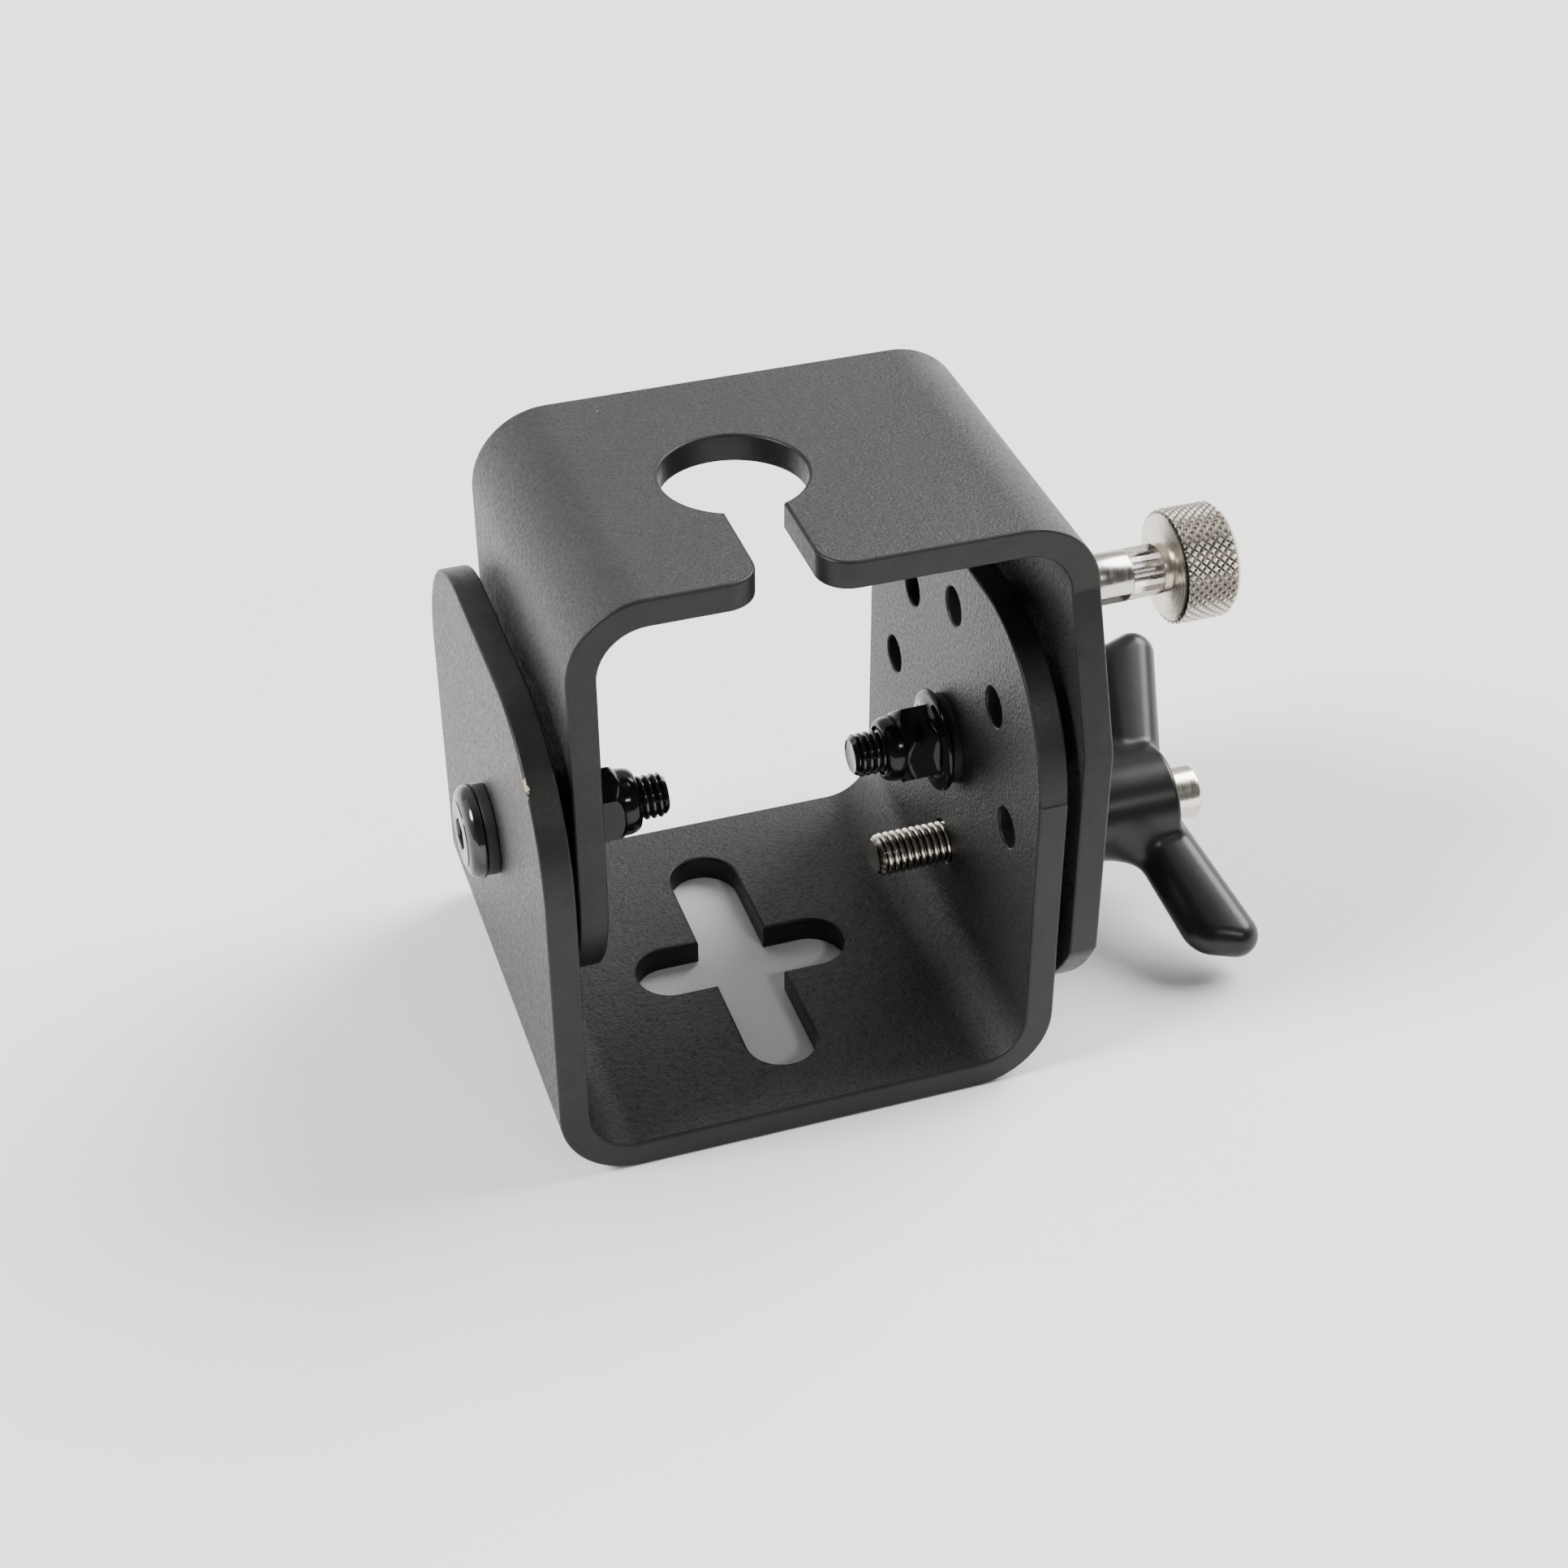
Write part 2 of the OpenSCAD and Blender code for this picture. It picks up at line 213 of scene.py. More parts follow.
def flat_sheet(loops, thickness, edge_r, steps=3):
    """A flat plate with rounded cut edges: points (u, v, w) and faces.

    The first loop is the outline, the rest are holes. Faces on the cut edges
    come first, and their number is returned too."""
    turn = [math.radians(90.0 * k / steps) for k in range(steps + 1)]
    low = [(edge_r * (1 - math.sin(a)), edge_r * (1 - math.cos(a))) for a in turn]
    rows = low + [(d, thickness - w) for d, w in reversed(low)]
    verts, faces, rims = [], [], ([], [])
    for loop in loops:
        start, n = len(verts), len(loop)
        for d, w in rows:
            verts += [(p[0], p[1], w) for p in inset(loop, d)]
        for k in range(len(rows) - 1):
            a, b = start + k * n, start + (k + 1) * n
            faces += [
                (a + i, a + (i + 1) % n, b + (i + 1) % n, b + i) for i in range(n)
            ]
        rims[0].append(range(start, start + n))
        rims[1].append(range(start + (len(rows) - 1) * n, start + len(rows) * n))
    cut_faces = len(faces)
    for rim in rims:
        ids = [i for ring in rim for i in ring]
        flat = [[Vector((verts[i][0], verts[i][1], 0)) for i in ring] for ring in rim]
        faces += [tuple(ids[k] for k in tri) for tri in tessellate_polygon(flat)]
    return verts, faces, cut_faces


def folded(name, loops, flat_lo, flat_hi, to_frame, **handed):
    """A sheet folded up at both ends of its flat middle, as a finished piece.

    The loops are drawn on the unrolled outer face, which is flat from flat_lo
    to flat_hi; to_frame turns (x, y, height over that face) into the frame."""
    verts, faces, cut_faces = flat_sheet(loops, PLATE_T, EDGE_R)
    sheet = bmesh.new()
    made = [sheet.verts.new(v) for v in verts]
    for k, face in enumerate(faces):
        try:
            sheet.faces.new([made[i] for i in face]).material_index = k < cut_faces
        except ValueError:          # the face is there already
            continue
    strips = 18
    for limit, way in ((flat_hi, 1), (flat_lo, -1)):
        for k in range(strips + 1):
            bmesh.ops.bisect_plane(
                sheet,
                geom=sheet.verts[:] + sheet.edges[:] + sheet.faces[:],
                plane_co=(limit + way * BEND_LEN * k / strips, 0, 0),
                plane_no=(1, 0, 0),
                dist=1e-5,
            )
    for v in sheet.verts:
        u, y, w = v.co
        limit, way = (flat_hi, 1) if u > flat_hi else (flat_lo, -1)
        past = way * (u - limit)
        if past <= 0:
            x, up = u, w
        elif past < BEND_LEN:
            a = past / BEND_R
            x = limit + way * (BEND_R - w) * math.sin(a)
            up = BEND_R - (BEND_R - w) * math.cos(a)
        else:
            x = limit + way * (BEND_R - w)
            up = BEND_R + past - BEND_LEN
        v.co = to_frame(x, y, up)
    sheet.verts.index_update()
    points = [v.co.copy() for v in sheet.verts]
    polygons = [tuple(v.index for v in f.verts) for f in sheet.faces]
    tags = [f.material_index for f in sheet.faces]
    sheet.free()
    piece = mesh_piece(name, points, polygons, tags=tags, **handed)
    return shade(piece, 40.0, weighted=True)


def regular(segments=72):
    """Even angles all the way round."""
    return np.arange(segments) * 2 * math.pi / segments


def spun_piece(name, stations, centre, angles, sharp=35.0, **handed):
    """A shape spun about a line along X, as a finished piece.

    A station is (x, r); either may be an array with a value for each angle."""
    n = len(angles)
    verts, faces = [], []
    for x, r in stations:
        x = np.broadcast_to(x, n)
        r = np.broadcast_to(r, n)
        verts += [
            (xi, centre[0] + ri * math.cos(a), centre[1] + ri * math.sin(a))
            for xi, ri, a in zip(x, r, angles)
        ]
    for k in range(len(stations) - 1):
        a, b = k * n, (k + 1) * n
        faces += [(a + i, a + (i + 1) % n, b + (i + 1) % n, b + i) for i in range(n)]
    return shade(mesh_piece(name, verts, faces, **handed), sharp)


def rounded(x0, r0, x1, r1, way, steps=4):
    """A quarter-ellipse from (x0, r0) to (x1, r1); way 1 leaves along r."""
    out = []
    for k in range(steps + 1):
        a = math.pi / 2 * k / steps
        s, c = math.sin(a), 1 - math.cos(a)
        fx, fr = (c, s) if way == 1 else (s, c)
        out.append((x0 + (x1 - x0) * fx, r0 + (r1 - r0) * fr))
    return out


def hex_radius(across_flats, angles, turn=0.0):
    """Distance from the middle of a hexagon to its side, for each angle."""
    side = (angles + turn + math.pi / 6) % (math.pi / 3) - math.pi / 6
    return across_flats / 2 / np.cos(side)


def thread_stations(x0, x1, angles, end_bevel, per_turn=12):
    """Stations of an M5 screw thread from x0 to x1, bevelled at the x1 end."""
    way = 1 if x1 > x0 else -1
    r = THREAD_R - ROOM
    count = int(abs(x1 - x0) / THREAD_PITCH * per_turn)
    out = []
    for x in np.linspace(x0, x1, count + 1):
        phase = (x / THREAD_PITCH - angles / (2 * math.pi)) % 1.0
        radius = r - THREAD_DEPTH * np.abs(2 * phase - 1) ** THREAD_SHAPE
        out.append((x, np.minimum(radius, r - end_bevel + way * (x1 - x))))
    return out


# ---------------------------------------------------------------- materials
def new_material(name, metallic, **constants):
    """A material with its node tree and shader; constants go on its sockets."""
    material = bpy.data.materials.new(name)
    material.use_nodes = True
    tree = material.node_tree
    shader = tree.nodes["Principled BSDF"]
    shader.inputs["Metallic"].default_value = metallic
    for key, value in constants.items():
        shader.inputs[key.replace("_", " ")].default_value = value
    return material, tree, shader


def link(tree, value, socket):
    """Joins an output to a socket, or sets the socket to a number or colour."""
    if isinstance(value, bpy.types.NodeSocket):
        tree.links.new(value, socket)
    else:
        socket.default_value = value


def object_place(tree):
    """A point's place in the object's own coordinates, in metres."""
    return tree.nodes.new("ShaderNodeTexCoord").outputs["Object"]


def noise(tree, size, detail=2.0, roughness=0.5, where=None):
    """Noise whose grain is about size millimetres across, from 0 to 1."""
    node = tree.nodes.new("ShaderNodeTexNoise")
    node.inputs["Scale"].default_value = 1 / (size * MM)
    node.inputs["Detail"].default_value = detail
    node.inputs["Roughness"].default_value = roughness
    link(tree, where or object_place(tree), node.inputs["Vector"])
    return node.outputs["Fac"]


def specks(tree, size, cover):
    """1 on small sparse round specks, 0 elsewhere."""
    node = tree.nodes.new("ShaderNodeTexVoronoi")
    node.inputs["Scale"].default_value = 1 / (size * MM)
    link(tree, object_place(tree), node.inputs["Vector"])
    return remap(tree, node.outputs["Distance"], cover, cover * 0.6, 0, 1)


def remap(tree, value, from_lo, from_hi, to_lo, to_hi):
    """The value moved from one range to another, and held inside it."""
    node = tree.nodes.new("ShaderNodeMapRange")
    node.inputs["From Min"].default_value = from_lo
    node.inputs["From Max"].default_value = from_hi
    node.inputs["To Min"].default_value = to_lo
    node.inputs["To Max"].default_value = to_hi
    link(tree, value, node.inputs["Value"])
    return node.outputs["Result"]


def sums(tree, operation, a, b):
    """Arithmetic on two values."""
    node = tree.nodes.new("ShaderNodeMath")
    node.operation = operation
    link(tree, a, node.inputs[0])
    link(tree, b, node.inputs[1])
    return node.outputs["Value"]


def mix(tree, factor, a, b):
    """Colour a where the factor is 0, colour b where it is 1."""
    node = tree.nodes.new("ShaderNodeMix")
    node.data_type = "RGBA"
    link(tree, factor, node.inputs["Factor"])
    for socket, colour in ((node.inputs[6], a), (node.inputs[7], b)):
        if not isinstance(colour, bpy.types.NodeSocket):
            colour = (*colour, 1)
        link(tree, colour, socket)
    return node.outputs[2]


def bump(tree, shader, height, depth, after=None):
    """Adds relief that is depth millimetres high to the shader's normal."""
    node = tree.nodes.new("ShaderNodeBump")
    node.inputs["Distance"].default_value = depth * MM
    node.inputs["Strength"].default_value = 1.0
    link(tree, height, node.inputs["Height"])
    if after is not None:
        link(tree, after, node.inputs["Normal"])
    link(tree, node.outputs["Normal"], shader.inputs["Normal"])
    return node.outputs["Normal"]


def vector_math(tree, operation, a, b=(0.0, 0.0, 0.0), output="Vector"):
    """Arithmetic on a vector, with a second one where it takes two."""
    node = tree.nodes.new("ShaderNodeVectorMath")
    node.operation = operation
    link(tree, a, node.inputs[0])
    node.inputs[1].default_value = b
    return node.outputs[output]


def axis_place(tree, centre):
    """A point's x, its height z off a line along X, and its distance from it."""
    split = tree.nodes.new("ShaderNodeSeparateXYZ")
    link(tree, object_place(tree), split.inputs["Vector"])
    y = sums(tree, "SUBTRACT", split.outputs["Y"], centre[0] * MM)
    z = sums(tree, "SUBTRACT", split.outputs["Z"], centre[1] * MM)
    square = sums(tree, "ADD", sums(tree, "MULTIPLY", y, y), sums(tree, "MULTIPLY", z, z))
    return split.outputs["X"], z, sums(tree, "SQRT", square, 0.0)


def lathe_place(tree, centre, along, across):
    """Coordinates in which lathe marks are stripes: x and the radius, scaled."""
    x, z, radius = axis_place(tree, centre)
    join = tree.nodes.new("ShaderNodeCombineXYZ")
    link(tree, sums(tree, "MULTIPLY", x, along), join.inputs["X"])
    link(tree, sums(tree, "MULTIPLY", radius, along), join.inputs["Y"])
    link(tree, sums(tree, "MULTIPLY", z, across), join.inputs["Z"])
    return join.outputs["Vector"]


def powder_coat():
    """Satin black coat with a fine pebble grain, dark pits and a little dust."""
    material, tree, shader = new_material("powder_coat", 0.0, Specular_IOR_Level=0.55)
    fine = noise(tree, 0.42, 3.0, 0.65)
    coarse = noise(tree, 1.3, 2.0, 0.5)
    cloud = noise(tree, 22.0, 3.0, 0.55)
    pits = remap(tree, fine, 0.36, 0.46, 0.0, 1.0)
    patches = remap(tree, cloud, 0.35, 0.7, 0, 1)
    base = mix(tree, patches, (0.0130, 0.0128, 0.0124), (0.0175, 0.0170, 0.0164))
    base = mix(tree, pits, (0.004, 0.004, 0.004), base)
    dusty = remap(tree, cloud, 0.5, 0.56, 0, 1)
    dust = sums(tree, "MULTIPLY", specks(tree, 6.5, 0.026), dusty)
    link(tree, mix(tree, dust, base, (0.20, 0.195, 0.19)), shader.inputs["Base Color"])
    link(tree, remap(tree, fine, 0.34, 0.66, 0.60, 0.34), shader.inputs["Roughness"])
    first = bump(tree, shader, coarse, 0.07)
    bump(tree, shader, fine, 0.14, first)
    return material


def cut_edge_coat(chip_centre):
    """The same coat on the cut edges: smoother and darker, chipped at one spot."""
    material, tree, shader = new_material("powder_coat_edge", 0.0, Specular_IOR_Level=0.25)
    fine = noise(tree, 0.5, 2.0, 0.5)
    broad = noise(tree, 4.0, 2.0, 0.5)
    patches = remap(tree, broad, 0.35, 0.65, 0, 1)
    base = mix(tree, patches, (0.0070, 0.0082, 0.0076), (0.0105, 0.0117, 0.0111))
    offset = vector_math(tree, "SUBTRACT", object_place(tree), [c * MM for c in chip_centre])
    narrow = vector_math(tree, "MULTIPLY", offset, (4.0, 1.0, 1.0))
    distance = vector_math(tree, "LENGTH", narrow, output="Value")
    near = remap(tree, distance, 0.3 * MM, 3.6 * MM, 0.50, 0.0)
    flake = sums(tree, "ADD", noise(tree, 0.6, 3.0, 0.6), near)
    chipped = remap(tree, flake, 0.86, 0.92, 0.0, 1.0)
    link(tree, mix(tree, chipped, base, (0.40, 0.33, 0.23)), shader.inputs["Base Color"])
    link(tree, remap(tree, fine, 0.3, 0.7, 0.50, 0.36), shader.inputs["Roughness"])
    bump(tree, shader, fine, 0.03)
    return material


def gloss_black(name, rough, grain_depth, tone=0.008, specular=0.65):
    """Black finish of the pivots' small parts, from glossy to dull."""
    material, tree, shader = new_material(name, 0.0, Specular_IOR_Level=specular)
    grain = noise(tree, 0.6, 2.0, 0.5)
    dark = (tone, tone, tone * 1.15)
    light = (tone * 1.5, tone * 1.5, tone * 1.6)
    base = mix(tree, remap(tree, noise(tree, 3.0), 0.4, 0.65, 0, 1), dark, light)
    link(tree, base, shader.inputs["Base Color"])
    link(tree, remap(tree, grain, 0.3, 0.7, rough, rough + 0.06), shader.inputs["Roughness"])
    bump(tree, shader, grain, grain_depth)
    return material


def turned_metal(name, centre, bright, dark, rough, groove, groove_shade=None, warm_to=None):
    """Plated steel with fine marks that run round the part, and small stains.

    groove_shade is the radii between which the painted shade in the grooves fades from dark
    to bright, and warm_to is the x up to which the plating is yellowish; both in millimetres."""
    material, tree, shader = new_material(name, 1.0)
    x, _, radius = axis_place(tree, centre)
    marks = noise(tree, 1.0, 2.0, 0.6, lathe_place(tree, centre, 9.0, 0.35))
    stain = noise(tree, 0.8, 4.0, 0.65)
    tone = mix(tree, remap(tree, stain, 0.62, 0.74, 0, 1), bright, dark)
    if warm_to is not None:
        warm = remap(tree, x, (warm_to - 0.4) * MM, (warm_to + 0.4) * MM, 1.0, 0.0)
        yellowish = (bright[0] * 0.86, bright[1] * 0.76, bright[2] * 0.42)
        tone = mix(tree, warm, tone, yellowish)
    # painted shade: groove floors are coloured dark to stand in for the shade that falls in them
    if groove_shade is not None:
        shaded = remap(tree, radius, groove_shade[0] * MM, groove_shade[1] * MM, 1.0, 0.0)
        outer = remap(tree, radius, (groove_shade[0] - 0.25) * MM, (groove_shade[0] - 0.1) * MM, 0.0, 1.0)
        tone = mix(tree, sums(tree, "MULTIPLY", shaded, outer), tone, (0.10, 0.092, 0.08))
    link(tree, tone, shader.inputs["Base Color"])
    link(tree, remap(tree, marks, 0.3, 0.7, rough - 0.05, rough + 0.1), shader.inputs["Roughness"])
    bump(tree, shader, marks, groove)
    return material


def wing_plastic():
    """Smooth black plastic, a little uneven."""
    material, tree, shader = new_material("wing_plastic", 0.0, Specular_IOR_Level=0.34)
    grain = noise(tree, 0.35, 2.0, 0.5)
    broad = noise(tree, 6.0, 2.0, 0.5)
    patches = remap(tree, broad, 0.35, 0.65, 0, 1)
    tone = mix(tree, patches, (0.0048, 0.0060, 0.0055), (0.0066, 0.0078, 0.0073))
    link(tree, tone, shader.inputs["Base Color"])
    link(tree, remap(tree, grain, 0.3, 0.7, 0.29, 0.34), shader.inputs["Roughness"])
    bump(tree, shader, broad, 0.02)
    return material


def floor_paint():
    """Dull, nearly white floor with faint large patches."""
    material, tree, shader = new_material("pale_floor", 0.0, Roughness=0.9)
    patches = noise(tree, 60.0, 3.0, 0.5)
    tone = mix(tree, patches, (0.87, 0.865, 0.875), (0.90, 0.90, 0.905))
    link(tree, tone, shader.inputs["Base Color"])
    bump(tree, shader, noise(tree, 0.9, 1.0, 0.4), 0.02)
    return material


CHIP = (base_lo.x, -20.8, PIVOT_Z + 20.1)     # on the left ear's rounded front corner
COAT = powder_coat()
EDGE_COAT = cut_edge_coat(CHIP)
BLACK_SCREW = gloss_black("black_screw", rough=0.09, grain_depth=0.002)
BLACK_NUT = gloss_black("black_nut", rough=0.09, grain_depth=0.002, tone=0.005, specular=0.27)
BLACK_WASHER = gloss_black("black_washer", rough=0.46, grain_depth=0.010, tone=0.014, specular=0.3)
NYLON = gloss_black("nylon_ring", rough=0.38, grain_depth=0.006, tone=0.012, specular=0.5)
NICKEL = turned_metal(
    "nickel_plate", INDEX_LINE, bright=(0.56, 0.54, 0.50), dark=(0.30, 0.28, 0.25),
    rough=0.17, groove=0.005, warm_to=upper_hi.x + 2.0,
)
KNURLED = turned_metal(
    "knurled_nickel", INDEX_LINE, bright=(0.70, 0.645, 0.565), dark=(0.37, 0.335, 0.285),
    rough=0.24, groove=0.006,
    # painted shade in the knurl's grooves
    groove_shade=(knob_hi.z - INDEX_Z - 0.36, knob_hi.z - INDEX_Z - 0.08),
)
PIN_STEEL = turned_metal(
    "pin_steel", INDEX_LINE, bright=(0.50, 0.48, 0.46), dark=(0.28, 0.26, 0.24),
    rough=0.26, groove=0.004,
)
WIRE = turned_metal(
    "spring_wire", INDEX_LINE, bright=(0.45, 0.44, 0.42), dark=(0.28, 0.27, 0.25),
    rough=0.28, groove=0.002,
)
STUD_STEEL = turned_metal(
    "stud_steel", CLAMP_LINE, bright=(0.80, 0.745, 0.665), dark=(0.44, 0.405, 0.345),
    # painted shade in the thread's roots
    rough=0.16, groove=0.003, groove_shade=(THREAD_R - THREAD_DEPTH, THREAD_R - 0.12),
)
WING_BLACK = wing_plastic()


# ---------------------------------------------------------------- plates
def lower_plate():
    """The lower bracket: cross-slotted base and two ears, folded upwards."""
    half_flat = EAR_OUT - BEND_R

    def unrolled(z):
        """Where a height of the ears is on the unrolled sheet."""
        return half_flat + BEND_LEN + z - BEND_R

    end = unrolled(base_hi.z)
    d, r = HALF_DEPTH, CORNER_R
    corner = [(end - r, -d), (end - r + LEDGE_AT, -d)]
    for x, y in arc(end - r, -d + r, r, 273, 360):
        corner.append((x, y + LEDGE * (r - d - y) / r))
    outline = (
        corner
        + arc(end - r, d - r, r, 0, 90)
        + arc(-end + r, d - r, r, 90, 180)
        + arc(-end + r, -d + r, r, 180, 270)
    )
    w, long_c = CROSS_HALF_W, CROSS_HALF_LONG - CROSS_HALF_W
    short_c = CROSS_HALF_SHORT - CROSS_HALF_W
    cross = (
        arc(0, long_c, w, 180, 0, 10) + [(w, w)]
        + arc(short_c, 0, w, 90, -90, 10) + [(w, -w)]
        + arc(0, -long_c, w, 0, -180, 10) + [(-w, -w)]
        + arc(-short_c, 0, w, 270, 90, 10) + [(-w, w)]
    )
    holes = [cross, round_hole(unrolled(CLAMP_Z), 0, SCREW_HOLE_R)]
    for side in (-1, 1):
        holes.append(round_hole(side * unrolled(PIVOT_Z), 0, SCREW_HOLE_R))
    for k in range(-2, 3):
        a = math.radians(45.0 * k)
        holes.append(
            round_hole(
                unrolled(PIVOT_Z + INDEX_R * math.cos(a)),
                -INDEX_R * math.sin(a),
                INDEX_HOLE_R,
            )
        )
    return folded(
        "lower_plate", [outline] + holes, -half_flat, half_flat,
        lambda x, y, up: (x, y, up),
        body="base", replaced="lower_bracket", slot="powder_coat",
        materials=[COAT, EDGE_COAT],
    )


def upper_plate():
    """The upper bracket: keyhole top, narrow left leg, wide right leg."""
    flat_lo = upper_lo.x + BEND_R
    flat_hi = upper_hi.x - BEND_R
    top = upper_hi.z

    def right(z):
        """Where a height of the right leg is on the unrolled sheet."""
        return flat_hi + BEND_LEN + top - z - BEND_R

    def left(z):
        """Where a height of the left leg is on the unrolled sheet."""
        return flat_lo - BEND_LEN - (top - z - BEND_R)

    d, r = TOP_HALF_DEPTH, CORNER_R
    end = left(NARROW_END_Z)
    s, m = KEYHOLE_SLOT, KEYHOLE_MOUTH_R
    mouth = math.degrees(math.asin(s / KEYHOLE_R))
    wide = math.degrees(math.asin(HALF_DEPTH / FOOT_R))
    shoulder = right(SHOULDER_Z)
    tangent = flat_hi + BEND_LEN
    pivot = right(PIVOT_Z)
    outline = (
        arc(end + r, -d + r, r, 180, 270)
        + arc(-s - m, -d + m, m, 270, 360, 9)
        + arc(0, 0, KEYHOLE_R, 270 - mouth, -90 + mouth)
        + arc(s + m, -d + m, m, 180, 270, 9)
        + [(tangent, -d), (shoulder, -HALF_DEPTH)]
        + arc(pivot, 0, FOOT_R, -wide, wide)
        + [(shoulder, HALF_DEPTH), (tangent, d)]
        + arc(end + r, d - r, r, 90, 180)
    )
    inner, outer = CLAMP_R - ARC_HALF_W, CLAMP_R + ARC_HALF_W
    clamp_arc = (
        arc(pivot, 0, outer, 90, -90, 5)
        + arc(pivot, -CLAMP_R, ARC_HALF_W, 270, 90, 15)[1:-1]
        + arc(pivot, 0, inner, -90, 90, 5)
        + arc(pivot, CLAMP_R, ARC_HALF_W, 270, 90, 15)[1:-1]
    )
    holes = [
        round_hole(left(PIVOT_Z), 0, SCREW_HOLE_R),
        round_hole(pivot, 0, SCREW_HOLE_R),
        round_hole(right(INDEX_Z), 0, sleeve_hi.z - INDEX_Z),
        clamp_arc,
    ]
    return folded(
        "upper_plate", [outline] + holes, flat_lo, flat_hi,
        lambda x, y, up: (x, y, top - up),
        body="upper", replaced="upper_bracket", slot="powder_coat",
        materials=[COAT, EDGE_COAT],
    )


# ---------------------------------------------------------------- pivot stacks
HEAD_H = 2.0                      # low button head
HEAD_R = 5.2 - ROOM
FACE_R = 3.5                      # the flat ring round its socket
DOME_R = 3.75                     # where the dome starts, past a rounded step
DOME_STEP = 0.12
DOME_H = 0.86
DOME_BULGE = 0.16
SOCKET_ACROSS = 3.3
SOCKET_DEPTH = 1.8
SHANK_R = THREAD_R - 0.02         # plain part next to the head
SHANK_END = 6.6
WASHERS = (                       # part, radius, how far its rim is rounded
    ("head_washer", 5.0, 0.25),
    ("spacer_washer", 5.2 - ROOM, 0.15),
    ("nut_washer", 5.2 - ROOM, 0.22),
)
WASHER_HOLE_R = THREAD_R + 0.17
NUT_ACROSS = 8.0 - 2 * ROOM
NUT_TURN = 0.18
NUT_BORE_R = THREAD_R + 0.04
FLANGE_R = 5.9 - ROOM
FLANGE_FOOT = 0.85                # height where the flange's rim ends
COLLAR_R = 3.72                   # the round collar that holds the nylon ring
RING_R = 3.1                      # the ring's seat in the collar


def pivot_part(side, part, shape, profile, offset=0.0, **handed):
    """One spun part of a pivot; x in its profile runs from the head to the nut."""
    lo, hi = span(f"{side}_{part}")
    start, way = (lo.x, 1) if side == "left" else (hi.x, -1)
    start += way * offset
    stations = [(start + way * np.asarray(x), r) for x, r in profile]
    spun_piece(f"{side}_{shape}", stations, PIVOT_LINE, body="base",
               replaced=f"{side}_{part}", **handed)


def pivot_screw(side):
    """Low button-head screw with a hexagon socket; x is 0 under its head."""
    end = length(f"{side}_pivot_screw") - HEAD_H
    angles = regular()
    hexagon = hex_radius(SOCKET_ACROSS, angles, 0.3)
    top = -HEAD_H + ROOM
    profile = [(top + SOCKET_DEPTH, 0.0), (top + 1.45, hexagon * 0.99), (top + 0.22, hexagon)]
    profile += [(top + 0.02, hexagon + 0.05), (top, hexagon + 0.1), (top, FACE_R)]
    profile += rounded(top, FACE_R + 0.05, top + DOME_STEP, DOME_R, 1, 3)
    for share in np.linspace(0, 1, 9)[1:]:
        bulge = DOME_BULGE * math.sin(math.pi * share)
        x = top + DOME_STEP + DOME_H * share - bulge
        profile.append((x, DOME_R + (HEAD_R - DOME_R - 0.05) * share + bulge))
    profile += [(-0.88, HEAD_R), (-0.14, HEAD_R), (0.0, HEAD_R - 0.16)]
    profile += [(0.0, SHANK_R), (0.6, SHANK_R), (SHANK_END, SHANK_R)]
    profile += thread_stations(SHANK_END + 0.4, end, angles, 0.55)
    profile += [(end - 0.12, 1.6), (end - 0.12, 0.0)]
    pivot_part(side, "pivot_screw", "button_screw", profile, HEAD_H, angles=angles,
               sharp=38.0, slot="black_screw", materials=[BLACK_SCREW])


def washers(side):
    """The three washers of a pivot, with rounded rims."""
    for part, r, bevel in WASHERS:
        t = length(f"{side}_{part}")
        profile = [(0.0, WASHER_HOLE_R)]
        profile += rounded(0.0, r - bevel, bevel, r, 1, 3)
        profile += rounded(t - bevel, r, t, r - bevel, 0, 3)
        profile += [(t, WASHER_HOLE_R), (0.0, WASHER_HOLE_R)]
        pivot_part(side, part, f"{part}_disc", profile, angles=regular(96),
                   slot="washer_black", materials=[BLACK_WASHER])


def lock_nut(side):
    """Flange nut: a round flange, six flats bevelled to a cone, and a collar."""
    height = length(f"{side}_lock_nut")
    angles = regular()
    flats = hex_radius(NUT_ACROSS, angles, NUT_TURN)
    skirt_r = FLANGE_R - 0.5
    profile = [(0.0, NUT_BORE_R + 0.3), (0.0, FLANGE_R - 0.35)]
    profile += rounded(0.0, FLANGE_R - 0.35, 0.38, FLANGE_R, 1, 4)[1:]
    profile += rounded(0.38, FLANGE_R, FLANGE_FOOT, skirt_r, 0, 4)[1:]
    for x, r in rounded(FLANGE_FOOT, skirt_r, 2.1, 3.9, 1, 6)[1:]:
        profile.append((x, np.maximum(flats * (x > 0.95), r)))
    profile += [(x, flats) for x in (2.4, 3.2, 4.0)]
    for x in np.linspace(4.1, 5.0, 8):
        cone = 4.66 - 0.95 * (x - 4.05) ** 1.15
        profile.append((x, np.minimum(flats, cone)))
    profile += [(5.06, COLLAR_R + 0.06), (5.12, COLLAR_R)]
    profile += rounded(5.5, COLLAR_R, height - 0.02, 2.95, 0, 7)
    profile += [(height - 0.02, 2.85), (height - 0.55, 2.86), (height - 0.56, RING_R)]
    profile += [(height - 2.0, RING_R), (height - 2.02, NUT_BORE_R)]
    profile += [(0.2, NUT_BORE_R), (0.0, NUT_BORE_R + 0.3)]
    pivot_part(side, "lock_nut", "flange_nut", profile, angles=angles,
               sharp=33.0, slot="black_nut", materials=[BLACK_NUT])


def nylon_insert(side):
    """The lock nut's nylon ring."""
    t = length(f"{side}_nut_ring")
    outer = RING_R - 0.05
    profile = [(0.0, NUT_BORE_R), (0.0, outer), (t, outer)]
    profile += rounded(t, 2.9, t - 0.15, NUT_BORE_R, 1, 3) + [(0.0, NUT_BORE_R)]
    pivot_part(side, "nut_ring", "nylon_insert", profile, angles=regular(),
               slot="nylon_ring", materials=[NYLON])


